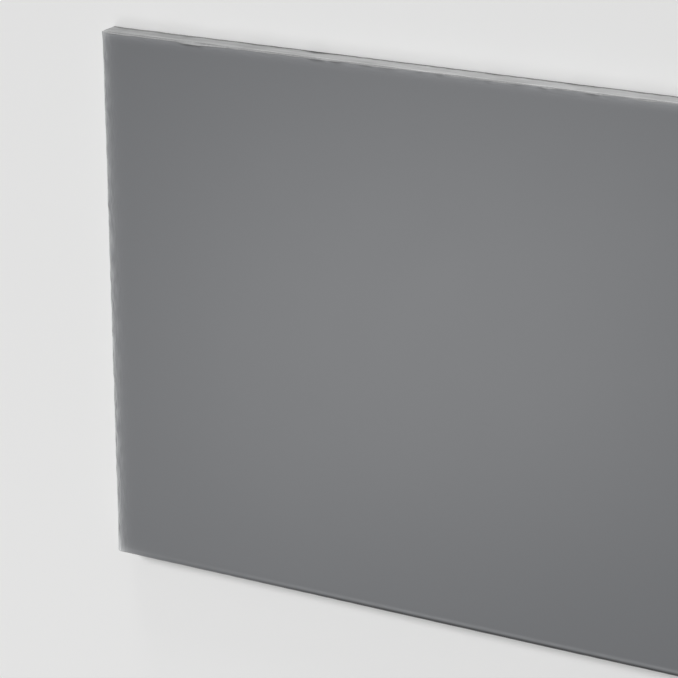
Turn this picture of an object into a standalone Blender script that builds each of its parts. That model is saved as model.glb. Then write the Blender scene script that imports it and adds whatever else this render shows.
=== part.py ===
"""A sheet of solid grey rigid PVC, cut to size and lying flat.

Metres, +Z up. The origin is the middle of the underside. The length runs along X,
the width along Y, and the show face looks up along +Z.
"""

from math import radians

import bpy

# Driving dimensions
LENGTH = 0.6096
WIDTH = 0.3048
THICKNESS = 0.0127
CORNER_RADIUS = 0.0015
EDGE_EASE = 0.0008

# How finely the rounded edges are cut
CORNER_SEGMENTS = 4
EASE_SEGMENTS = 3
RIM_ANGLE = radians(60)

# Finish
SHEET_GREY = (0.160, 0.163, 0.169, 1.0)
SHEET_ROUGHNESS = 0.45

SHEET_NAME = "pvc_sheet"
COLLECTION_NAME = "Grey PVC sheet"


def clear_objects():
    """Empty the scene, keeping the file that this script runs from."""
    for old in list(bpy.data.objects):
        bpy.data.objects.remove(old, do_unlink=True)


def sheet_material():
    """Solid grey PVC with a satin pressed face."""
    material = bpy.data.materials.new("Grey PVC")
    material.use_nodes = True
    shader = material.node_tree.nodes["Principled BSDF"]
    shader.inputs["Base Color"].default_value = SHEET_GREY
    shader.inputs["Roughness"].default_value = SHEET_ROUGHNESS
    shader.inputs["Metallic"].default_value = 0.0
    return material


def square_blank(name, length, width, thickness):
    """A box of the sheet's size, standing on the ground plane."""
    bpy.ops.mesh.primitive_cube_add(size=1.0, location=(0.0, 0.0, thickness / 2))
    blank = bpy.context.active_object
    blank.name = name
    blank.data.name = name
    blank.scale = (length, width, thickness)
    bpy.ops.object.transform_apply(location=True, rotation=False, scale=True)
    return blank


def mark_upright_edges(mesh):
    """Give the four upright corner edges a full bevel weight."""
    weights = mesh.attributes.new("bevel_weight_edge", "FLOAT", "EDGE")
    for edge in mesh.edges:
        low, high = (mesh.vertices[index].co for index in edge.vertices)
        upright = low.x == high.x and low.y == high.y
        weights.data[edge.index].value = 1.0 if upright else 0.0


def round_corners(sheet, radius):
    """Round the four corners of the plan, where the saw cuts meet."""
    mark_upright_edges(sheet.data)
    corners = sheet.modifiers.new("Rounded corners", "BEVEL")
    corners.limit_method = "WEIGHT"
    corners.offset_type = "OFFSET"
    corners.width = radius
    corners.segments = CORNER_SEGMENTS


def ease_rims(sheet, ease):
    """Scrape the rims of both faces, so that no edge is left sharp."""
    rims = sheet.modifiers.new("Eased rims", "BEVEL")
    rims.limit_method = "ANGLE"
    rims.angle_limit = RIM_ANGLE
    rims.offset_type = "OFFSET"
    rims.width = ease
    rims.segments = EASE_SEGMENTS
    rims.harden_normals = True


def main():
    clear_objects()
    sheet = square_blank(SHEET_NAME, LENGTH, WIDTH, THICKNESS)
    round_corners(sheet, CORNER_RADIUS)
    ease_rims(sheet, EDGE_EASE)
    sheet.data.shade_smooth()
    sheet.data.materials.append(sheet_material())

    stock = bpy.data.collections.new(COLLECTION_NAME)
    bpy.context.scene.collection.children.link(stock)
    for holder in list(sheet.users_collection):
        holder.objects.unlink(sheet)
    stock.objects.link(sheet)


if __name__ == "__main__":
    main()
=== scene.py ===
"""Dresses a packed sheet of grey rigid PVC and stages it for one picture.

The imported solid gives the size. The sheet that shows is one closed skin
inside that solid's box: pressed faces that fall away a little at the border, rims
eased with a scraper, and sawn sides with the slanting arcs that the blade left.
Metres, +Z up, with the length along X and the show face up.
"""

from math import cos, pi, radians, sin

import bpy
import numpy as np
from bpy.props import FloatProperty, FloatVectorProperty, IntProperty, PointerProperty
from bpy.types import Operator, Panel, PropertyGroup
from mathutils import Euler, Matrix, Vector


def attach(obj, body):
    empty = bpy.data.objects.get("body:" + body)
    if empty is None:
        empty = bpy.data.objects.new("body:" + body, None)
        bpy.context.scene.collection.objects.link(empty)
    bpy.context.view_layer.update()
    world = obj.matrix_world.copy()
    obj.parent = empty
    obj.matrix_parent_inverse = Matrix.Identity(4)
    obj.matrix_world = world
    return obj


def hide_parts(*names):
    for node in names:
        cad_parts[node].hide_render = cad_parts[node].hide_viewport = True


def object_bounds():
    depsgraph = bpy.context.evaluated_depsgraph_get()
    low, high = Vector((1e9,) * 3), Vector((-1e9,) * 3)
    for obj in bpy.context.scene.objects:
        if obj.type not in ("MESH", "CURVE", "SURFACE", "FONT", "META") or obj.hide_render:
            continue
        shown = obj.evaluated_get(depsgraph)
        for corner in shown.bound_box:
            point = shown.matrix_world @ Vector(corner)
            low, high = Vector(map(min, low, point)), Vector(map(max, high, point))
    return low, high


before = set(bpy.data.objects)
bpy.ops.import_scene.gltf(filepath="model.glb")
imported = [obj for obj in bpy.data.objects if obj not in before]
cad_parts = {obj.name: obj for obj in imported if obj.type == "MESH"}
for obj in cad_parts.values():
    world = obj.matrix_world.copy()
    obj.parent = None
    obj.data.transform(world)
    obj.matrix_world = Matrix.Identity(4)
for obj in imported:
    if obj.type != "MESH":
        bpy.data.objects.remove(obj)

bl_info = {
    "name": "Grey PVC sheet",
    "version": (1, 0, 0),
    "blender": (4, 5, 0),
    "location": "3D View > Sidebar > PVC sheet",
    "description": "Cuts and finishes a sheet of grey PVC and lights it on a pale floor",
    "category": "Object",
}

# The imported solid
SOLID_NODE = "pvc_sheet"
SOLID_LOW, SOLID_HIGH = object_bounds()
SOLID_SIZE = SOLID_HIGH - SOLID_LOW
MILLIMETRE = 0.001

# Kinds of setting
DISTANCE = {"subtype": "DISTANCE", "unit": "LENGTH"}
ANGLE = {"subtype": "ANGLE", "unit": "ROTATION"}
COLOUR = {"subtype": "COLOR", "size": 3, "min": 0.0, "max": 1.0}
SHARE = {"subtype": "FACTOR", "min": 0.0, "max": 1.0}

# Steps of the finest ring's eight spans, walked anticlockwise: near side, corner, right
# end, corner, far side, corner, left end, corner
SIDE_STEPS = 896
END_STEPS = 448
CORNER_STEPS = 8
SPAN_STEPS = (SIDE_STEPS, CORNER_STEPS, END_STEPS, CORNER_STEPS) * 2

# How far in each ring of the faces lies, finest first, in reaches of the border. The last
# ring has square corners.
FACE_INSETS = (1.0, 1.5, 2.3, 3.5, 5.5)
SQUARE = len(FACE_INSETS) - 1

# Rows of the section, from the show face over the rim and down the side. The border's
# rows are given as shares of the way from its inner edge to the rim.
BORDER_ROWS = (0.25, 0.45, 0.62, 0.77, 0.90)
RIM_ROWS = 6
FOOT_ROWS = 5
SIDE_ROWS = 11

# A point that faces along the width by more than this is on the far or the near side
FACING = 0.5

# Finishes, in the order of the mesh's material slots
PRESSED, SCRAPED, SAWN = range(3)

# Mesh attributes: each point's distance along its own side, and its tone: paler where the
# edge was handled, darker towards the far side's left end, and darker with painted shade in
# the chips and along the lower arris
ATTRIBUTES = ("along_cut", "edge_tone")

# Wavelength in which the cut wandered
SWAY_WAVE = 0.25

# Unevenness of the upper and the lower rim: the wavelengths of a slow and a quick wave, the
# quick one's share, and how hard its slopes are drawn together
UPPER_WAVES = (0.055, 0.016, 0.5, 1.6)
LOWER_WAVES = (0.045, 0.014, 0.6, 1.8)

# How many points the change from one side's rim to the next one's is spread over
BLEND_POINTS = 5 * CORNER_STEPS

# Waves of the saw's arcs, each with its height, its turns in a pitch and its start, and the
# share of the side's height in which the arcs fade out towards a rim
ARC_WAVES = ((0.25, 1.0, 0.0), (0.15, 0.37, 1.0), (0.10, 1.73, 2.0))
ARC_FADE = 1 / 8

# Marks along the far side, each with its middle's distance from the left end and its
# length, both in millimetres, and its strength: where the scraper dipped, left the rim
# sharper or chipped the upper arris, which carries painted shade in the chips, where the
# lower arris was nicked, which deepens its painted contact shadow, and where the upper one
# was burnished
DIPS = ((9, 50, 0.4), (36, 40, 0.3), (55.5, 25, 1), (66, 34, 0.65), (82.2, 20, 0.3),
        (91, 34, 0.3), (135, 24, 0.12), (257, 10, 0.15), (310, 10, 0.2), (352, 40, 0.3),
        (520, 26, 0.35))
CRESTS = ((37.6, 10, 0.3), (69, 14, 0.35), (91.7, 8, 0.4), (144, 10, 0.4), (152, 7, 0.35),
          (190.5, 33, 0.62), (246.4, 21, 0.55), (264, 9, 0.35), (273.5, 14, 0.5),
          (294, 12, 0.58), (316, 9, 0.35), (393, 26, 0.4), (478, 16, 0.4), (554, 20, 0.4))
CHIPS = ((52.5, 16, 1), (58.2, 11, 0.7), (128.8, 15, 1), (140, 13, 0.75), (157, 14, 0.5),
         (169, 18, 0.35), (187, 9, 0.35), (198.5, 8, 0.5), (225, 7, 0.4), (242, 14, 0.4),
         (254.4, 9, 0.55), (263, 12, 0.3), (280.5, 13, 0.8), (352, 12, 0.5), (448, 15, 0.8),
         (502, 16, 0.5))
NICKS = ((16, 44, 1.1), (35, 50, 1), (48, 18, 1.6), (67.2, 10, 0.25), (100.4, 14, 0.25),
         (124.8, 20, 1.1), (134, 16, 0.4), (222.3, 10, 0.3), (268, 24, 0.3), (362, 22, 0.35),
         (437, 16, 0.3), (566, 24, 0.4))
BURNISHED = ((30, 40, 0.5), (96, 16, 0.7), (134, 20, 1), (188, 26, 0.9), (251, 22, 1),
             (281, 14, 1), (303, 10, 0.6), (392, 24, 1), (476, 18, 0.8), (541, 22, 1))

# How much paler the burnished arris is, and how far down that reaches
BURNISHED_LIFT = 0.22
ARRIS_REACH = 0.0018

# How much paler the upper rim is where it meets the side, and in the dips
RIM_WHITENING = 0.50
DIP_WHITENING = 0.65

# Painted shade in the chips along the arris: how dark it is, and the powers by which it
# fades over the border and over the rim
PAINTED_CHIP_SHADE = 0.85
BORDER_CHIP_POWER = 4
RIM_CHIP_POWER = 24

# Where the far side's paleness starts to rise, from the left end, where it is full, and
# how much darker the side is before that
LEFT_END_REACH = (0.045, 0.180)
LEFT_END_DARKENING = 0.22

# Where the painted contact shadow on the far side's lower arris starts to deepen, from the
# left end, where it is at its darkest, and how dark it is before that
FOOT_SHADOW_LEFT_REACH = (0.045, 0.085)
LEFT_END_FOOT_SHADOW = 0.50

# Painted contact shadow along the lower arris: how dark it is on the far side and on the
# others, how high it reaches, how much of this goes with the rim's rounding, how much a nick
# adds, and how sharply it ends
FAR_FOOT_SHADE = 0.94
FOOT_SHADE = 0.40
FOOT_SHADE_HEIGHT = 0.00235
FOOT_ROUND_SHARE = 0.6
FOOT_NICK_GAIN = 0.7
FOOT_SHADE_POWER = 4

# Where the painted shadow line along the near rim begins and where it is at its darkest,
# from either end
NEAR_SHADOW_START = 0.012
NEAR_SHADOW_FULL = 0.175

# The painted highlight line beside it: how strong it is at the corners, how much stronger
# where the painted shadow is at its darkest, and its place and width, in widths of the
# painted shadow line
NEAR_PALE_START = 0.22
NEAR_PALE_GAIN = 0.36
NEAR_PALE_PLACE = 1.66
NEAR_PALE_WIDTH = 0.62

# How much more the pale end borders, partly painted highlight, are lifted at their near
# ends than at their far ones, and how much more the right of the far border is than the left
END_SLOPE = 0.45
FAR_SLOPE = 0.50

# How much paler the two near corners of the face are, and how far that reaches along the
# near side and in from it
CORNER_LIFT = 3.2
CORNER_REACH = (0.010, 0.0021)

# How much less the rims are rounded at the two far corners, and how far that reaches
CORNER_TAPER = 0.60
TAPER_REACH = 0.0040

# How many times more uneven the ends' pale borders and the painted shadow line along the near
# rim are than the far border
END_STREAKS = 1.9
NEAR_STREAKS = 0.55

# Share of the ends' pale borders that shows on their rims
RIM_END_SHARE = 1 / 2.8

# Streaks of the scraper: the scale and detail of their waves, how far they wave, their own
# scale and detail, and the share to which that scale drops lengthways
SCRAPE_WAVES = (140.0, 1.0)
SCRAPE_SWAY = 0.0005
SCRAPE_GRAIN = (1100.0, 2.0)
SCRAPE_DRAW = 0.09

# Textures, each with its scale, its detail and how far it varies the tone. The teeth take
# their scale from the saw, and the scale of its streaks drops to a share lengthways.
CLOUDS = (11.0, 2.0, 0.010)
PRESS_GRAIN = (1400.0, 3.0, 0.012)
TEETH = (2.0, 0.03)
STRETCHES = (38.0, 1.0, 0.06)
SAW_STREAKS = (360.0, 3.0, 0.20)
SAW_DRAW = 0.10
DUST = (900.0, 3.0, 0.03)
CHATTER = (700.0, 2.0, 0.08)
RIM_PATCHES = (60.0, 1.0, 0.14)

# Scale and detail of the pressed faces' patches of shine and of their finest relief
SHINE_PATCHES = (24.0, 3.0)
PEEL = (420.0, 2.0)

# How far each finish's roughness varies, and the strength and depth of its finest relief
PRESSED_SURFACE = (0.006, 0.35, 0.00003)
SCRAPED_SURFACE = (0.06, 0.50, 0.00003)
SAWN_SURFACE = (0.05, 0.60, 0.00004)

# Range in which most of a noise lies
NOISE_RANGE = (0.25, 0.75)

# Refraction of the plastic, and shine of the floor
IOR = 1.54
FLOOR_ROUGHNESS = 0.9
FLOOR_SPECULAR = 0.1


class SheetCut(PropertyGroup):
    """Sizes of the sheet and of its edges."""

    length: FloatProperty(
        name="Length", description="Longest side of the sheet",
        default=SOLID_SIZE.x, min=0.05, **DISTANCE)
    width: FloatProperty(
        name="Width", description="Shorter side of the sheet",
        default=SOLID_SIZE.y, min=0.05, **DISTANCE)
    thickness: FloatProperty(
        name="Thickness", description="Thickness of the sheet between its faces",
        default=SOLID_SIZE.z, min=0.004, **DISTANCE)
    near_corner_radius: FloatProperty(
        name="Near corner radius", description="Rounding of the near corners in plan",
        default=0.0015, min=0.0006, max=0.004, **DISTANCE)
    far_corner_radius: FloatProperty(
        name="Far corner radius", description="Rounding of the far corners in plan",
        default=0.0007, min=0.0006, max=0.004, **DISTANCE)
    rim_radius: FloatProperty(
        name="Rim radius", description="Rounding of the upper rim on the far side",
        default=0.0008, min=0.0002, max=0.002, **DISTANCE)
    near_rim_radius: FloatProperty(
        name="Near rim radius", description="Rounding of the upper rim on the near side",
        default=0.0004, min=0.0002, max=0.002, **DISTANCE)
    end_rim_radius: FloatProperty(
        name="End rim radius", description="Rounding of the upper rim on the ends",
        default=0.0012, min=0.0002, max=0.002, **DISTANCE)
    foot_radius: FloatProperty(
        name="Lower rim radius", description="Rounding of the rim that lies on the floor",
        default=0.0008, min=0.0002, max=0.002, **DISTANCE)
    dip_depth: FloatProperty(
        name="Dip depth", description="How much rounder the rim is in a dip",
        default=0.0011, min=0.0, max=0.0015, **DISTANCE)
    nick_depth: FloatProperty(
        name="Nick depth", description="How much rounder the lower rim is in a nick",
        default=0.0002, min=0.0, max=0.0015, **DISTANCE)
    chip_depth: FloatProperty(
        name="Chip depth", description="Depth of the chips along the upper rim",
        default=0.00016, min=0.0, max=0.0005, **DISTANCE)
    rim_wander: FloatProperty(
        name="Rim wander", description="Share by which the upper rim's rounding varies",
        default=0.55, min=0.0, max=0.8, subtype="FACTOR")
    foot_wander: FloatProperty(
        name="Lower rim wander", description="Share by which the lower rim's rounding varies",
        default=0.60, min=0.0, max=0.8, subtype="FACTOR")
    border_reach: FloatProperty(
        name="Border reach", description="How far in from the rim the face falls away",
        default=0.0045, min=0.002, max=0.02, **DISTANCE)
    border_fall: FloatProperty(
        name="Border fall", description="Drop of the face where the rim begins",
        default=0.00012, min=0.0, max=0.001, **DISTANCE)
    seed: IntProperty(
        name="Seed", description="Picks the wander of the rims and the saw",
        default=11, min=0)


class SawCut(PropertyGroup):
    """Marks that a circular saw left across the sides and ends."""

    depth: FloatProperty(
        name="Mark depth", description="Depth of the saw's arcs",
        default=0.000028, min=0.0, max=0.0003, **DISTANCE)
    pitch: FloatProperty(
        name="Mark pitch", description="Distance between the saw's coarser arcs",
        default=0.0034, min=0.001, max=0.02, **DISTANCE)
    tooth_pitch: FloatProperty(
        name="Tooth pitch", description="Distance between the fine lines inside an arc",
        default=0.0006, min=0.0001, max=0.004, **DISTANCE)
    blade_radius: FloatProperty(
        name="Blade radius", description="Radius of the saw blade",
        default=0.125, min=0.05, max=0.3, **DISTANCE)
    blade_drop: FloatProperty(
        name="Blade drop", description="How far the blade's centre ran below the sheet",
        default=0.085, min=0.0, max=0.25, **DISTANCE)
    sway: FloatProperty(
        name="Sway", description="How far the cut wandered in",
        default=0.00008, min=0.0, max=0.001, **DISTANCE)


class SheetFinish(PropertyGroup):
    """Colours and shine of the faces, rims and sawn sides."""

    pressed_colour: FloatVectorProperty(
        name="Pressed face", description="Grey of the pressed faces",
        default=(0.133, 0.138, 0.146), **COLOUR)
    # Scraper whitening and painted highlight, added along the borders
    wear_and_highlight_colour: FloatVectorProperty(
        name="Worn and highlit border", description="Grey that wear adds along the borders",
        default=(0.1340, 0.1345, 0.1350), **COLOUR)
    scraped_colour: FloatVectorProperty(
        name="Scraped rim", description="Paler grey of the rims",
        default=(0.206, 0.208, 0.209), **COLOUR)
    sawn_colour: FloatVectorProperty(
        name="Sawn side", description="Whitened grey of the sawn sides",
        default=(0.426, 0.428, 0.429), **COLOUR)
    pressed_roughness: FloatProperty(
        name="Pressed roughness", description="Roughness of the pressed faces",
        default=0.292, **SHARE)
    scraped_roughness: FloatProperty(
        name="Scraped roughness", description="Roughness of the scraped rims",
        default=0.45, **SHARE)
    sawn_roughness: FloatProperty(
        name="Sawn roughness", description="Roughness of the sawn sides",
        default=0.62, **SHARE)
    # The pale borders: scraper whitening and painted highlight where the edges catch the light
    side_lift: FloatProperty(
        name="Side border", description="How much paler the face is along the long sides",
        default=0.80, min=0.0, max=3.0, subtype="FACTOR")
    end_lift: FloatProperty(
        name="End border", description="How much paler the face is along the ends",
        default=3.20, min=0.0, max=5.0, subtype="FACTOR")
    side_fade: FloatProperty(
        name="Side fade", description="Distance in which the sides' pale border fades",
        default=0.0031, min=0.0005, max=0.02, **DISTANCE)
    end_fade: FloatProperty(
        name="End fade", description="Distance in which the ends' pale border fades",
        default=0.0022, min=0.0005, max=0.02, **DISTANCE)
    # Painted shadow line along the near rim: its strength and width
    near_painted_shadow: FloatProperty(
        name="Near shade", description="How much darker the near rim is than the face",
        default=0.78, **SHARE)
    near_painted_shadow_width: FloatProperty(
        name="Near shade width", description="Width of the dark line along the near rim",
        default=0.0016, min=0.0005, max=0.01, **DISTANCE)
    scrape_streaks: FloatProperty(
        name="Scrape streaks", description="How uneven the scraper left the paler borders",
        default=0.36, **SHARE)


class SheetStage(PropertyGroup):
    """The floor, the light and the camera."""

    floor_colour: FloatVectorProperty(
        name="Floor", description="Colour of the pale floor",
        default=(0.872, 0.872, 0.869), **COLOUR)
    floor_size: FloatProperty(
        name="Floor size", description="Side of the square floor",
        default=16.0, min=1.0, **DISTANCE)
    fill: FloatProperty(
        name="Fill", description="Even light from all round",
        default=0.27, min=0.0, max=2.0)
    backdrop: FloatProperty(
        name="Backdrop", description="How pale the surroundings look to the camera",
        default=0.705, **SHARE)
    key: FloatProperty(
        name="Key", description="Light of the key on a surface that faces it",
        default=0.655, min=0.0, max=4.0)
    key_heading: FloatProperty(
        name="Key heading", description="Where the key stands, turned from +Y towards -X",
        default=radians(47), **ANGLE)
    key_height: FloatProperty(
        name="Key height", description="Angle of the key above the floor",
        default=radians(47), **ANGLE)
    key_softness: FloatProperty(
        name="Key softness", description="How wide the key looks from the sheet",
        default=radians(21), **ANGLE)
    skim: FloatProperty(
        name="Skim", description="Light of the low lamp on a side that faces it",
        default=0.186, min=0.0, max=4.0)
    skim_heading: FloatProperty(
        name="Skim heading", description="Where the low lamp stands, turned from +Y towards -X",
        default=radians(6), **ANGLE)
    skim_height: FloatProperty(
        name="Skim height", description="Angle of the low lamp above the floor",
        default=radians(8), **ANGLE)
    skim_softness: FloatProperty(
        name="Skim softness", description="How wide the low lamp looks from the sheet",
        default=radians(14), **ANGLE)
    panel_power: FloatProperty(
        name="Panel power", description="Power of the light panel",
        default=3.2, min=0.0, subtype="POWER", unit="POWER")
    panel_distance: FloatProperty(
        name="Panel distance", description="Distance of the light panel from the face",
        default=1.8, min=0.5, **DISTANCE)
    panel_length: FloatProperty(
        name="Panel length", description="Long side of the light panel",
        default=0.70, min=0.05, **DISTANCE)
    panel_width: FloatProperty(
        name="Panel width", description="Short side of the light panel",
        default=0.53, min=0.05, **DISTANCE)
    sheen_place: FloatVectorProperty(
        name="Sheen", description="Where the sheen is brightest, from the face's middle",
        default=(-0.095, 0.034), size=2, subtype="XYZ", unit="LENGTH")
    camera_turn: FloatProperty(
        name="Camera turn", description="Angle from the camera's aim to the standing face",
        default=radians(27.10), **ANGLE)
    camera_tilt: FloatProperty(
        name="Camera tilt", description="How far the camera looks down at the standing sheet",
        default=radians(20.25), **ANGLE)
    camera_place: FloatVectorProperty(
        name="Camera place",
        description="Camera from the standing face's lower left corner, in sheet widths",
        default=(0.4157, -4.494, 2.083), size=3)
    camera_lens: FloatProperty(
        name="Camera lens", description="Focal length of the camera in millimetres",
        default=139.33, min=10.0)


# Outline of the sheet


class Ring:
    """One closed loop of points round the sheet, walked anticlockwise from above."""

    def __init__(self, sizes, inset, radii, steps=SPAN_STEPS):
        self.steps = steps
        half = (sizes.length / 2 - inset, sizes.width / 2 - inset)
        spans = []
        for span, count in enumerate(steps):
            quarter = span // 2
            turn = Matrix.Rotation(quarter * pi / 2, 2)
            radius = radii[quarter]
            start = radii[quarter - 1] - half[quarter % 2]
            end = half[quarter % 2] - radius
            out = half[(quarter + 1) % 2]
            share = np.arange(count) / max(count, 1)
            if span % 2 == 0:
                x = start + (end - start) * share
                local = np.column_stack((x, np.full(count, -out)))
                facing = np.tile((0.0, -1.0), (count, 1))
            else:
                angle = share * pi / 2
                facing = np.column_stack((np.sin(angle), -np.cos(angle)))
                local = facing * radius + (end, radius - out)
                x = np.full(count, end)
            turned = np.array(turn).T
            spans.append(np.column_stack((local @ turned, facing @ turned, x)))
        table = np.vstack(spans)
        self.places = table[:, :2]
        self.outward = table[:, 2:4]
        self.run = table[:, 4]

    def moved_in(self, distance):
        """The points moved in by a distance that may differ from point to point."""
        return self.places - self.outward * np.reshape(distance, (-1, 1))

    def distance_round(self):
        """How far along the loop each point lies, and the loop's length."""
        gaps = np.linalg.norm(np.roll(self.places, -1, 0) - self.places, axis=1)
        return np.concatenate(([0.0], np.cumsum(gaps)[:-1])), gaps.sum()


def corner_radii(sizes):
    """The rounding of the four corners in plan, in the order in which they are walked."""
    near, far = sizes.near_corner_radius, sizes.far_corner_radius
    return np.array((near, far, far, near))


def wander(place, total, wavelength, chance):
    """A smooth random wave round the outline, from -1 to 1, that meets itself. It is made
    of waves between half and twice the wavelength."""
    middle = max(2, round(total / wavelength))
    wave = np.zeros_like(place)
    for cycles in range(max(1, middle // 2), 2 * middle):
        height = chance.normal()
        phase = chance.uniform(0, 2 * pi)
        wave += height * np.cos(2 * pi * cycles * place / total + phase)
    return wave / np.abs(wave).max()


def smoothed(values, width):
    """Values round the outline, averaged over a number of neighbours."""
    window = np.ones(width) / width
    padded = np.concatenate((values[-width:], values, values[:width]))
    return np.convolve(padded, window, "same")[width:-width]


# Skin of the sheet


class Skin:
    """Gathers the points and faces of the sheet."""

    def __init__(self):
        self.rings = []
        self.count = 0
        self.faces = []
        self.finishes = []

    def add(self, flat, height, run, tone=1.0):
        """Adds a ring of points and returns the index of each."""
        size = len(flat)
        rest = (np.broadcast_to(value, size) for value in (height, run, tone))
        self.rings.append(np.column_stack((flat, *rest)))
        self.count += size
        return list(range(self.count - size, self.count))

    def face(self, corners, finish, flip=False):
        """Adds a face by the indices of its points, turned over or not."""
        self.faces.append(corners[::-1] if flip else corners)
        self.finishes.append(finish)

    def band(self, before, finish, flat, height, run, tone=1.0):
        """Adds a ring of as many points as the one before, outside it or below it, joins the
        two with quads and returns the new one."""
        after = self.add(flat, height, run, tone)
        for k in range(len(after)):
            n = (k + 1) % len(after)
            self.face((after[k], after[n], before[n], before[k]), finish)
        return after

    def thinning_band(self, fine, steps, coarse, flip):
        """Joins a ring to one of half as many steps, on the show face or under it."""
        fine = fine + fine[:1]
        coarse = coarse + coarse[:1]
        f = c = 0
        for count in steps:
            for _ in range(count // 2):
                left, middle, right = fine[f:f + 3]
                near, far = coarse[c:c + 2]
                for corners in ((left, middle, near), (middle, far, near), (middle, right, far)):
                    self.face(corners, PRESSED, flip)
                f += 2
                c += 1
            if count == 1:
                self.face((fine[f], fine[f + 1], coarse[c]), PRESSED, flip)
                f += 1

    def fill(self, border, ring, flip):
        """Fills a square-cornered ring, which was the last one added, with a grid of quads."""
        columns, rows = ring.steps[0], ring.steps[2]
        low = self.rings[-1][0]
        high = self.rings[-1][columns + rows]
        table = np.zeros((rows + 1, columns + 1), int)
        table[0, :columns] = border[:columns]
        table[:rows, columns] = border[columns:columns + rows]
        table[rows, :0:-1] = border[columns + rows:2 * columns + rows]
        table[:0:-1, 0] = border[2 * columns + rows:]
        across = np.linspace(low[0], high[0], columns + 1)[1:-1]
        for row in range(1, rows):
            y = low[1] + (high[1] - low[1]) * row / rows
            flat = np.column_stack((across, np.full(columns - 1, y)))
            table[row, 1:columns] = self.add(flat, low[2], 0.0)
        table = table.tolist()
        for lower, upper in zip(table, table[1:]):
            for corners in zip(lower, lower[1:], upper[1:], upper):
                self.face(corners, PRESSED, flip)

    def mesh(self, name):
        """The mesh of all that was gathered, with its finishes and attributes."""
        mesh = bpy.data.meshes.new(name)
        points = np.vstack(self.rings)
        mesh.from_pydata(points[:, :3].tolist(), [], self.faces)
        mesh.polygons.foreach_set("material_index", self.finishes)
        mesh.polygons.foreach_set("use_smooth", [True] * len(self.faces))
        for label, values in zip(ATTRIBUTES, points[:, 3:].T):
            carried = mesh.attributes.new(label, "FLOAT", "POINT")
            carried.data.foreach_set("value", values.astype(np.float32))
        mesh.validate()
        mesh.update()
        return mesh


class Edge:
    """The cut outline, with how each rim was rounded and the tone of each point: paler where
    handled, darker with painted shade in the chips and along the lower arris.
    """

    def __init__(self, sizes, saw):
        chance = np.random.default_rng(sizes.seed)
        self.ring = Ring(sizes, 0.0, corner_radii(sizes))
        self.run = self.ring.run
        self.far = self.ring.outward[:, 1] > FACING
        self.near = self.ring.outward[:, 1] < -FACING
        self.from_left = self.ring.places[:, 0] + sizes.length / 2
        self.dips = self.marks(DIPS)
        self.crests = self.marks(CRESTS)
        self.chips = self.marks(CHIPS)
        self.nicks = self.marks(NICKS)
        self.burnished = self.marks(BURNISHED)
        self.left_end_tone = 1 - LEFT_END_DARKENING * self.left_end_share(*LEFT_END_REACH)
        from_end = sizes.length / 2 - np.abs(self.ring.places[:, 0])
        from_far = sizes.width / 2 - self.ring.places[:, 1]
        from_corner = np.hypot(from_end, from_far)
        self.taper = 1 - CORNER_TAPER * np.exp(-(from_corner / TAPER_REACH) ** 2)
        self.round = self.ring.distance_round()
        self.sway = saw.sway * (1 + wander(*self.round, SWAY_WAVE, chance)) / 2
        self.upper = self.upper_radius(sizes, chance)
        self.lower = self.lower_radius(sizes, chance)

    def marks(self, spots):
        """Smooth rises along the far side, each about its own spot."""
        rise = np.zeros(len(self.run))
        for middle, length, height in spots:
            off = np.abs(self.from_left / MILLIMETRE - middle)
            share = np.clip(2 * off / length, 0, 1)
            rise = np.maximum(rise, height * (1 + np.cos(pi * share)) / 2)
        return self.far * rise

    def unevenness(self, waves, chance):
        """A slow wave and a quick one round the outline. The quick one's slopes are drawn
        together, as where small chips follow each other."""
        slow_length, quick_length, quick_share, hardness = waves
        slow = wander(*self.round, slow_length, chance)
        quick = wander(*self.round, quick_length, chance)
        quick = np.tanh(hardness * quick) / np.tanh(hardness)
        return (1 - quick_share) * slow + quick_share * quick

    def upper_radius(self, sizes, chance):
        """How round the upper rim is."""
        radius = np.full(len(self.run), sizes.end_rim_radius)
        radius[self.far] = sizes.rim_radius
        radius[self.near] = sizes.near_rim_radius
        radius = smoothed(radius, BLEND_POINTS)
        radius = radius * (1 + sizes.rim_wander * self.unevenness(UPPER_WAVES, chance))
        return self.taper * (radius * (1 - self.crests) + sizes.dip_depth * self.dips)

    def lower_radius(self, sizes, chance):
        """How round the lower rim is, which was left rougher than the upper."""
        uneven = sizes.foot_wander * self.unevenness(LOWER_WAVES, chance)
        radius = sizes.foot_radius * (1 + uneven)
        return self.taper * (radius + sizes.nick_depth * self.nicks)

    def moved_in(self, distance):
        """The outline as the saw left it, moved in by a further distance."""
        return self.ring.moved_in(self.sway + distance)

    def burnished_tone(self, depth):
        """How pale the far side's upper arris is, at a depth below the show face."""
        return 1 + BURNISHED_LIFT * self.burnished * np.exp(-np.square(depth / ARRIS_REACH))

    def painted_chip_shade(self, share):
        """Painted shade in the chips: how dark the arris is, where share is 1 in the chip's
        middle.
        """
        return 1 - PAINTED_CHIP_SHADE * share * self.chips

    def left_end_share(self, start, full):
        """1 at the far side's left end, falling to 0 between two distances from it."""
        share = np.clip((self.from_left - start) / (full - start), 0, 1)
        return self.far * (1 - share * share * (3 - 2 * share))

    def painted_foot_shadow(self, height):
        """Painted contact shadow: how dark the side is at a height above the floor, more where the
        rim is rounder.
        """
        shade = np.where(self.far, FAR_FOOT_SHADE, FOOT_SHADE)
        shade = shade - (FAR_FOOT_SHADE - LEFT_END_FOOT_SHADOW) * self.left_end_share(*FOOT_SHADOW_LEFT_REACH)
        rounded = 1 + FOOT_ROUND_SHARE * (self.lower / self.lower.mean() - 1)
        reach = FOOT_SHADE_HEIGHT * (rounded + FOOT_NICK_GAIN * self.nicks)
        return 1 - shade * np.exp(-(height / reach) ** FOOT_SHADE_POWER)


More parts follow.
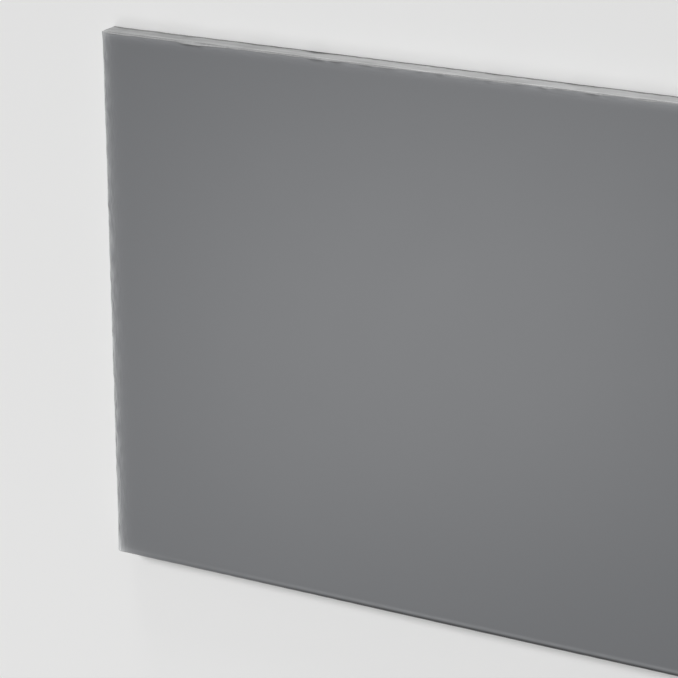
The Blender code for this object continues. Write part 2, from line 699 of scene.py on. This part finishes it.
def saw_relief(saw, edge, height, thickness):
    """How deep the saw's arcs cut in at each point of a row of the side."""
    lift = height - thickness / 2 + saw.blade_drop
    bend = np.sqrt(np.maximum(saw.blade_radius ** 2 - lift ** 2, 0))
    turns = (edge.run - bend) / saw.pitch
    mark = np.zeros(len(turns))
    for high, rate, start in ARC_WAVES:
        mark += high * (1 + np.cos(2 * pi * rate * turns + start))
    return saw.depth * mark


def face_rings(sizes):
    """The rings of a face, finest first. Each has half as many steps as the one before, and
    the last has square corners, where one step closed to a point, so that a grid fills it."""
    rings = []
    steps = SPAN_STEPS
    for level, share in enumerate(FACE_INSETS):
        inset = share * sizes.border_reach
        radii = np.zeros(4) if level == SQUARE else corner_radii(sizes) + inset / 2
        rings.append(Ring(sizes, inset, radii, steps))
        steps = tuple(count // 2 for count in steps)
    return rings


def add_show_face(skin, sizes, edge, rings):
    """The show face from its grid out to the rim, and the last row of its border."""
    before = skin.add(rings[SQUARE].places, sizes.thickness, 0.0)
    skin.fill(before, rings[SQUARE], flip=False)
    for ring in rings[SQUARE - 1::-1]:
        after = skin.add(ring.places, sizes.thickness, ring.run)
        skin.thinning_band(after, ring.steps, before, flip=False)
        before = after
    for share in BORDER_ROWS:
        flat = rings[0].places * (1 - share) + edge.moved_in(edge.upper) * share
        height = sizes.thickness - sizes.border_fall * share ** 2
        # Painted shade in the chips over the border's last rows
        tone = edge.painted_chip_shade(share ** BORDER_CHIP_POWER)
        before = skin.band(before, PRESSED, flat, height, edge.run, tone)
    return before


def add_upper_rim(skin, sizes, edge, before):
    """The rim that the scraper rounded, with its chips."""
    top = sizes.thickness - sizes.border_fall
    for row in range(RIM_ROWS + 1):
        angle = row / RIM_ROWS * pi / 2
        inner = cos(angle) ** RIM_CHIP_POWER
        chip = sizes.chip_depth * edge.chips * sin(2 * angle) * cos(angle)
        flat = edge.moved_in(edge.upper * (1 - sin(angle)) + chip)
        depth = edge.upper * (1 - cos(angle)) + chip
        # Painted shade in the chips, darker towards the far side's left end, paler where burnished
        tone = edge.burnished_tone(depth) * edge.painted_chip_shade(inner) * edge.left_end_tone
        tone = tone * (1 + RIM_WHITENING * sin(angle) ** 2)
        tone = tone * (1 + DIP_WHITENING * sin(2 * angle) * edge.dips)
        finish = SCRAPED if row else PRESSED
        before = skin.band(before, finish, flat, top - depth, edge.run, tone)
    return before


def add_sawn_side(skin, sizes, saw, edge, before):
    """The sawn side, from under the upper rim to the lower one."""
    top = sizes.thickness - sizes.border_fall - edge.upper
    for row in range(1, SIDE_ROWS):
        share = row / SIDE_ROWS
        height = top + (edge.lower - top) * share
        fade = min(1.0, share / ARC_FADE, (1 - share) / ARC_FADE)
        relief = fade * saw_relief(saw, edge, height, sizes.thickness)
        tone = edge.burnished_tone(sizes.thickness - height) * edge.left_end_tone
        # Painted contact shadow along the lower arris
        tone = tone * edge.painted_foot_shadow(height)
        before = skin.band(before, SAWN, edge.moved_in(relief), height, edge.run, tone)
    return before


def add_lower_rim(skin, edge, before):
    """The rim that lies on the floor."""
    for row in range(FOOT_ROWS + 1):
        angle = row / FOOT_ROWS * pi / 2
        flat = edge.moved_in(edge.lower * (1 - cos(angle)))
        height = edge.lower * (1 - sin(angle))
        # Painted contact shadow along the lower arris
        tone = edge.left_end_tone * edge.painted_foot_shadow(height)
        before = skin.band(before, SCRAPED if row else SAWN, flat, height, edge.run, tone)
    return before


def add_underside(skin, rings, before):
    """The face that lies on the floor, from the rim in to its grid."""
    after = skin.band(before, PRESSED, rings[0].places, 0.0, rings[0].run)
    for finer, ring in zip(rings, rings[1:]):
        before = after
        after = skin.add(ring.places, 0.0, ring.run)
        skin.thinning_band(before, finer.steps, after, flip=True)
    skin.fill(after, rings[SQUARE], flip=True)


def cut_sheet_mesh(sizes, saw):
    """The closed skin of the sheet, from the middle of one face round to the other."""
    edge = Edge(sizes, saw)
    rings = face_rings(sizes)
    skin = Skin()
    row = add_show_face(skin, sizes, edge, rings)
    row = add_upper_rim(skin, sizes, edge, row)
    row = add_sawn_side(skin, sizes, saw, edge, row)
    row = add_lower_rim(skin, edge, row)
    add_underside(skin, rings, row)
    return skin.mesh("cut_sheet")


# Finishes


def connect(tree, node, inputs):
    """Links or fills inputs of a node."""
    for name, value in inputs.items():
        if isinstance(value, bpy.types.NodeSocket):
            tree.links.new(value, node.inputs[name])
        else:
            node.inputs[name].default_value = value


def add_node(tree, kind, inputs=None, **settings):
    """Adds a node, sets it and links or fills its inputs."""
    node = tree.nodes.new("ShaderNode" + kind)
    for name, value in settings.items():
        setattr(node, name, value)
    connect(tree, node, inputs or {})
    return node


def math(tree, operation, first, second=0.0, third=0.0):
    """The result of one step of arithmetic."""
    inputs = {0: first, 1: second, 2: third}
    return add_node(tree, "Math", inputs, operation=operation).outputs[0]


def product(tree, first, *others):
    """Values multiplied together."""
    for other in others:
        first = math(tree, "MULTIPLY", first, other)
    return first


class Place:
    """Where on the sheet a point lies, and the tone the edge carries there, paler where handled
    and darker with painted shade, as outputs of nodes."""

    def __init__(self, tree, sizes):
        self.point = add_node(tree, "TexCoord").outputs["Object"]
        parts = add_node(tree, "SeparateXYZ", {0: self.point}).outputs
        self.x, self.y, self.height = parts
        self.from_end = math(tree, "SUBTRACT", sizes.length / 2, math(tree, "ABSOLUTE", self.x))
        self.from_near = math(tree, "ADD", self.y, sizes.width / 2)
        self.from_far = math(tree, "SUBTRACT", sizes.width / 2, self.y)
        self.run, self.tone = (
            add_node(tree, "Attribute", attribute_name=name).outputs["Fac"] for name in ATTRIBUTES)


def noise(tree, place, scale, detail, dimensions="3D"):
    """A noise that averages one half."""
    key = "W" if dimensions == "1D" else "Vector"
    inputs = {key: place, "Scale": scale, "Detail": detail}
    made = add_node(tree, "TexNoise", inputs, noise_dimensions=dimensions)
    return made.outputs["Fac"]


def spread(tree, value, middle, reach):
    """A noise spread about a middle."""
    low, high = NOISE_RANGE
    inputs = {"Value": value, "From Min": low, "From Max": high,
              "To Min": middle - reach, "To Max": middle + reach}
    return add_node(tree, "MapRange", inputs, clamp=False).outputs["Result"]


def textured(tree, tone, place, texture, dimensions="3D"):
    """A tone that a texture varies, and the texture's noise."""
    scale, detail, reach = texture
    made = noise(tree, place, scale, detail, dimensions)
    return math(tree, "ADD", tone, spread(tree, made, 0.0, reach)), made


def scaled_colour(tree, colour, factor):
    """A colour made paler or darker by a factor."""
    made = add_node(tree, "VectorMath", {0: colour, "Scale": factor}, operation="SCALE")
    return made.outputs["Vector"]


def new_material(name):
    """A material with a bare Principled shader, its tree and its shader."""
    material = bpy.data.materials.new(name)
    material.use_nodes = True
    tree = material.node_tree
    shader = tree.nodes["Principled BSDF"]
    connect(tree, shader, {"Metallic": 0.0, "IOR": IOR})
    return material, tree, shader


def set_surface(tree, shader, colour, patches, roughness, relief, surface):
    """Gives a shader its colour, roughness varied by one noise and relief by another."""
    reach, strength, depth = surface
    bump = add_node(tree, "Bump", {"Height": relief, "Strength": strength, "Distance": depth})
    connect(tree, shader, {"Base Color": colour, "Normal": bump.outputs["Normal"],
                           "Roughness": spread(tree, patches, roughness, reach)})


def faded(tree, distance, reach):
    """1 at no distance, falling off towards 0 by the reach."""
    return math(tree, "EXPONENT", math(tree, "DIVIDE", distance, -reach))


def hump(tree, distance, middle, width):
    """A rounded rise of height 1 about a middle distance."""
    off = math(tree, "DIVIDE", math(tree, "SUBTRACT", distance, middle), width)
    return math(tree, "EXPONENT", product(tree, off, off, -1.0))


def scraped_along(tree, uneven, across, along):
    """A factor about 1, in long wavy streaks as the scraper drew them along an edge."""
    wave = spread(tree, noise(tree, along, *SCRAPE_WAVES, "1D"), 0.0, SCRAPE_SWAY)
    inputs = {0: math(tree, "ADD", across, wave), 1: product(tree, along, SCRAPE_DRAW)}
    drawn = add_node(tree, "CombineXYZ", inputs).outputs[0]
    return spread(tree, noise(tree, drawn, *SCRAPE_GRAIN), 1.0, uneven)


def near_shadow_begun(tree, place):
    """How far the painted shadow line along the near rim has come up, from either end."""
    inputs = {"Value": place.from_end, "From Min": NEAR_SHADOW_START, "From Max": NEAR_SHADOW_FULL}
    begun = add_node(tree, "MapRange", inputs, interpolation_type="SMOOTHSTEP")
    return begun.outputs["Result"]


def near_painted_shadow(tree, finish, place):
    """How much of the paleness the painted shadow line along the near rim leaves."""
    half = finish.near_painted_shadow_width / 2
    line = hump(tree, place.from_near, half, half)
    uneven = scraped_along(tree, NEAR_STREAKS * finish.scrape_streaks, place.y, place.x)
    strength = product(tree, near_shadow_begun(tree, place), uneven, -finish.near_painted_shadow)
    return math(tree, "MULTIPLY_ADD", line, strength, 1.0)


def ends_wear_and_highlight(tree, finish, place):
    """How much paler the sheet is towards its ends, from scraper whitening and painted highlight.
    """
    uneven = scraped_along(tree, END_STREAKS * finish.scrape_streaks, place.x, place.y)
    return product(tree, faded(tree, place.from_end, finish.end_fade), uneven, finish.end_lift)


def border_lift(tree, sizes, finish, place):
    """How much paler the face is towards its borders, from scraper whitening and painted highlight
    where the edges catch the light, with a painted highlight line beside the near rim's painted
    shadow.
    """
    slope = math(tree, "MULTIPLY_ADD", place.y, -END_SLOPE / sizes.width, 1.0)
    ends = product(tree, ends_wear_and_highlight(tree, finish, place), slope)

    uneven = scraped_along(tree, finish.scrape_streaks, place.y, place.x)
    lift = product(tree, uneven, finish.side_lift)
    slope = math(tree, "MULTIPLY_ADD", place.x, FAR_SLOPE / sizes.length, 1.0)
    far = product(tree, hump(tree, place.from_far, 0.0, finish.side_fade), slope, lift)

    # Painted highlight line beside the painted shadow along the near rim
    width = finish.near_painted_shadow_width
    near = hump(tree, place.from_near, NEAR_PALE_PLACE * width, NEAR_PALE_WIDTH * width)
    begun = near_shadow_begun(tree, place)
    share = math(tree, "MULTIPLY_ADD", begun, NEAR_PALE_GAIN, NEAR_PALE_START)
    near = product(tree, near, share, lift)

    along, inward = CORNER_REACH
    corner = product(tree, faded(tree, place.from_end, along), CORNER_LIFT)
    near = math(tree, "MULTIPLY_ADD", faded(tree, place.from_near, inward), corner, near)
    return math(tree, "ADD", ends, math(tree, "ADD", far, near))


def pressed_finish(sizes, finish):
    """Satin pressed face, with faint clouds, fine grain, paler borders of scraper whitening and
    painted highlight, and a painted shadow line along the near rim."""
    material, tree, shader = new_material("Pressed PVC")
    place = Place(tree, sizes)
    tone, _ = textured(tree, 1.0, place.point, CLOUDS)
    tone, _ = textured(tree, tone, place.point, PRESS_GRAIN)
    face = scaled_colour(tree, finish.pressed_colour, tone)
    # Pale borders: scraper whitening and painted highlight
    pale_border = scaled_colour(tree, finish.wear_and_highlight_colour, border_lift(tree, sizes, finish, place))
    colour = add_node(tree, "VectorMath", {0: face, 1: pale_border}).outputs["Vector"]
    # Painted shadow line along the near rim, and the edge's tone with its painted shade
    shade = product(tree, near_painted_shadow(tree, finish, place), place.tone)
    colour = scaled_colour(tree, colour, shade)
    patches = noise(tree, place.point, *SHINE_PATCHES)
    peel = noise(tree, place.point, *PEEL)
    set_surface(tree, shader, colour, patches, finish.pressed_roughness, peel, PRESSED_SURFACE)
    return material


def saw_lines(tree, sizes, saw, place):
    """Fine lines that follow the blade's arcs across the cut."""
    lift = math(tree, "ADD", place.height, saw.blade_drop - sizes.thickness / 2)
    square = product(tree, lift, lift)
    bend = math(tree, "SQRT", math(tree, "SUBTRACT", saw.blade_radius ** 2, square))
    return math(tree, "SUBTRACT", place.run, bend)


def sawn_finish(sizes, finish, saw):
    """Whitened, matt sawn side, with the teeth's slanting lines and long streaks."""
    material, tree, shader = new_material("Sawn PVC")
    place = Place(tree, sizes)
    lines = saw_lines(tree, sizes, saw, place)
    tone, teeth = textured(tree, 1.0, lines, (1 / saw.tooth_pitch, *TEETH), "1D")
    tone, _ = textured(tree, tone, place.run, STRETCHES, "1D")
    inputs = {0: product(tree, place.run, SAW_DRAW), 1: place.height}
    drawn = add_node(tree, "CombineXYZ", inputs).outputs[0]
    tone, _ = textured(tree, tone, drawn, SAW_STREAKS)
    tone, _ = textured(tree, tone, place.point, DUST)
    # The edge's tone, with the painted contact shadow along the lower arris
    colour = scaled_colour(tree, finish.sawn_colour, product(tree, tone, place.tone))
    set_surface(tree, shader, colour, teeth, finish.sawn_roughness, teeth, SAWN_SURFACE)
    return material


def scraped_finish(sizes, finish):
    """Scraped rim, with small chatter marks, paler at the ends from whitening and painted
    highlight, and with a painted shadow line along the near side."""
    material, tree, shader = new_material("Scraped PVC")
    place = Place(tree, sizes)
    tone, chatter = textured(tree, 1.0, place.run, CHATTER, "1D")
    tone, patches = textured(tree, tone, place.run, RIM_PATCHES, "1D")
    # Paler ends: scraper whitening and painted highlight
    ends = math(tree, "MULTIPLY_ADD", ends_wear_and_highlight(tree, finish, place), RIM_END_SHARE, 1.0)
    # Painted shadow line along the near side, and the edge's tone with its painted shade
    tone = product(tree, tone, ends, near_painted_shadow(tree, finish, place), place.tone)
    colour = scaled_colour(tree, finish.scraped_colour, tone)
    rough = finish.scraped_roughness
    set_surface(tree, shader, colour, patches, rough, chatter, SCRAPED_SURFACE)
    return material


# Stage


def add_object(name, data):
    """Adds an object to the scene."""
    added = bpy.data.objects.new(name, data)
    bpy.context.scene.collection.objects.link(added)
    return added


def pale_floor(stage):
    """The plain pale floor that the sheet lies on."""
    half = stage.floor_size / 2
    mesh = bpy.data.meshes.new("floor")
    corners = [(-half, -half, 0), (half, -half, 0), (half, half, 0), (-half, half, 0)]
    mesh.from_pydata(corners, [], [(0, 1, 2, 3)])
    material, tree, shader = new_material("Pale floor")
    colour = (*stage.floor_colour, 1.0)
    connect(tree, shader, {"Base Color": colour, "Roughness": FLOOR_ROUGHNESS,
                           "Specular IOR Level": FLOOR_SPECULAR})
    mesh.materials.append(material)
    floor = add_object("floor", mesh)


def even_fill(stage):
    """A dim even world that looks pale to the camera and in reflections."""
    world = bpy.data.worlds.new("Even fill")
    bpy.context.scene.world = world
    world.use_nodes = True
    tree = world.node_tree
    tree.nodes.clear()
    path = add_node(tree, "LightPath").outputs
    seen = math(tree, "MAXIMUM", path["Is Camera Ray"], path["Is Glossy Ray"])
    white = (1.0, 1.0, 1.0, 1.0)
    lit = add_node(tree, "Background", {"Color": white, "Strength": stage.fill})
    shown = add_node(tree, "Background", {"Color": white, "Strength": stage.backdrop})
    mixed = add_node(tree, "MixShader", {0: seen, 1: lit.outputs[0], 2: shown.outputs[0]})
    add_node(tree, "OutputWorld", {"Surface": mixed.outputs[0]})


def add_lamp(name, kind, place, axes, **settings):
    """A lamp that shines against its third axis and doesn't show itself."""
    light = bpy.data.lights.new(name, kind)
    for setting, value in settings.items():
        setattr(light, setting, value)
    lamp = add_object(name, light)
    lamp.matrix_world = Matrix.Translation(place) @ axes.to_4x4()
    lamp.visible_camera = False
    return lamp


def axes_from(forward, side):
    """A rotation whose third axis is forward and whose first lies nearest to side."""
    third = forward.normalized()
    first = (side - third * side.dot(third)).normalized()
    return Matrix((first, third.cross(first), third)).transposed()


def far_lamp(name, light, heading, height, softness):
    """A wide soft lamp, far off. Its light is what a surface that faces it gets."""
    level = cos(height)
    towards = Vector((-sin(heading) * level, cos(heading) * level, sin(height)))
    axes = axes_from(towards, Vector((0, 0, 1)))
    return add_lamp(name, "SUN", towards, axes, energy=pi * light, angle=softness)


def tipped_over(stage):
    """Takes a direction in the room where the sheet stands before the camera to the same
    direction in the lying sheet's frame."""
    turn = stage.camera_turn
    return Matrix(((cos(turn), -sin(turn), 0), (0, 0, 1), (-sin(turn), -cos(turn), 0)))


def camera_axes(stage):
    """The camera's axes in the lying sheet's frame."""
    return tipped_over(stage) @ Euler((pi / 2 - stage.camera_tilt, 0, 0)).to_matrix()


def camera_place(sizes, stage):
    """The camera's place in the lying sheet's frame."""
    corner = Vector((-sizes.length / 2, -sizes.width / 2, sizes.thickness))
    return corner + tipped_over(stage) @ Vector(stage.camera_place) * sizes.width


def light_panel(sizes, stage):
    """A soft panel that the pressed face mirrors to the camera as a broad sheen."""
    sheen = Vector((*stage.sheen_place, sizes.thickness))
    seen_from = (camera_place(sizes, stage) - sheen).normalized()
    towards = Vector((-seen_from.x, -seen_from.y, seen_from.z))
    right = camera_axes(stage).col[0]
    level = Vector((right.x, right.y, -right.z))
    add_lamp("Light panel", "AREA", sheen + towards * stage.panel_distance,
             axes_from(towards, level), shape="RECTANGLE", size=stage.panel_length,
             size_y=stage.panel_width, energy=stage.panel_power)


def place_camera(sizes, stage):
    """The photograph's camera, tipped over with the sheet."""
    camera = bpy.data.cameras.new("Camera")
    camera.lens = stage.camera_lens
    placed = add_object("Camera", camera)
    place = Matrix.Translation(camera_place(sizes, stage))
    placed.matrix_world = place @ camera_axes(stage).to_4x4()
    bpy.context.scene.camera = placed


# Operators, panel and main


class PVCSHEET_OT_cut_sheet(Operator):
    """Cut the sheet and give its faces, rims and sides their finishes"""

    bl_idname = "pvcsheet.cut_sheet"
    bl_label = "Cut sheet"

    def execute(self, context):
        scene = context.scene
        sizes = scene.sheet_cut
        finish = scene.sheet_finish
        mesh = cut_sheet_mesh(sizes, scene.saw_cut)
        mesh.materials.append(pressed_finish(sizes, finish))
        mesh.materials.append(scraped_finish(sizes, finish))
        mesh.materials.append(sawn_finish(sizes, finish, scene.saw_cut))
        sheet = add_object("cut_sheet", mesh)
        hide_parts(SOLID_NODE)
        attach(sheet, "root")
        return {"FINISHED"}


class PVCSHEET_OT_set_stage(Operator):
    """Lay the pale floor, light the sheet and place the camera"""

    bl_idname = "pvcsheet.set_stage"
    bl_label = "Set stage"

    def execute(self, context):
        scene = context.scene
        sizes = scene.sheet_cut
        stage = scene.sheet_stage
        pale_floor(stage)
        even_fill(stage)
        far_lamp("Key", stage.key, stage.key_heading, stage.key_height, stage.key_softness)
        low = far_lamp("Skim", stage.skim, stage.skim_heading, stage.skim_height,
                       stage.skim_softness)
        low.visible_glossy = False
        light_panel(sizes, stage)
        place_camera(sizes, stage)
        scene.view_settings.view_transform = "Standard"
        return {"FINISHED"}


class PVCSHEET_PT_sheet(Panel):
    """Sizes, finishes and stage of the PVC sheet"""

    bl_idname = "PVCSHEET_PT_sheet"
    bl_label = "PVC sheet"
    bl_space_type = "VIEW_3D"
    bl_region_type = "UI"
    bl_category = "PVC sheet"

    def draw(self, context):
        layout = self.layout
        layout.use_property_split = True
        for group in SETTINGS:
            settings = getattr(context.scene, group)
            box = layout.box()
            for name in settings.__annotations__:
                box.prop(settings, name)
        layout.operator(PVCSHEET_OT_cut_sheet.bl_idname)
        layout.operator(PVCSHEET_OT_set_stage.bl_idname)


SETTINGS = {
    "sheet_cut": SheetCut,
    "saw_cut": SawCut,
    "sheet_finish": SheetFinish,
    "sheet_stage": SheetStage,
}
CLASSES = (
    *SETTINGS.values(),
    PVCSHEET_OT_cut_sheet,
    PVCSHEET_OT_set_stage,
    PVCSHEET_PT_sheet,
)


def register():
    for kind in CLASSES:
        bpy.utils.register_class(kind)
    for group, kind in SETTINGS.items():
        setattr(bpy.types.Scene, group, PointerProperty(type=kind))


def unregister():
    for group in SETTINGS:
        delattr(bpy.types.Scene, group)
    for kind in reversed(CLASSES):
        bpy.utils.unregister_class(kind)


def main():
    register()
    bpy.ops.pvcsheet.cut_sheet()
    bpy.ops.pvcsheet.set_stage()


if __name__ == "__main__":
    main()
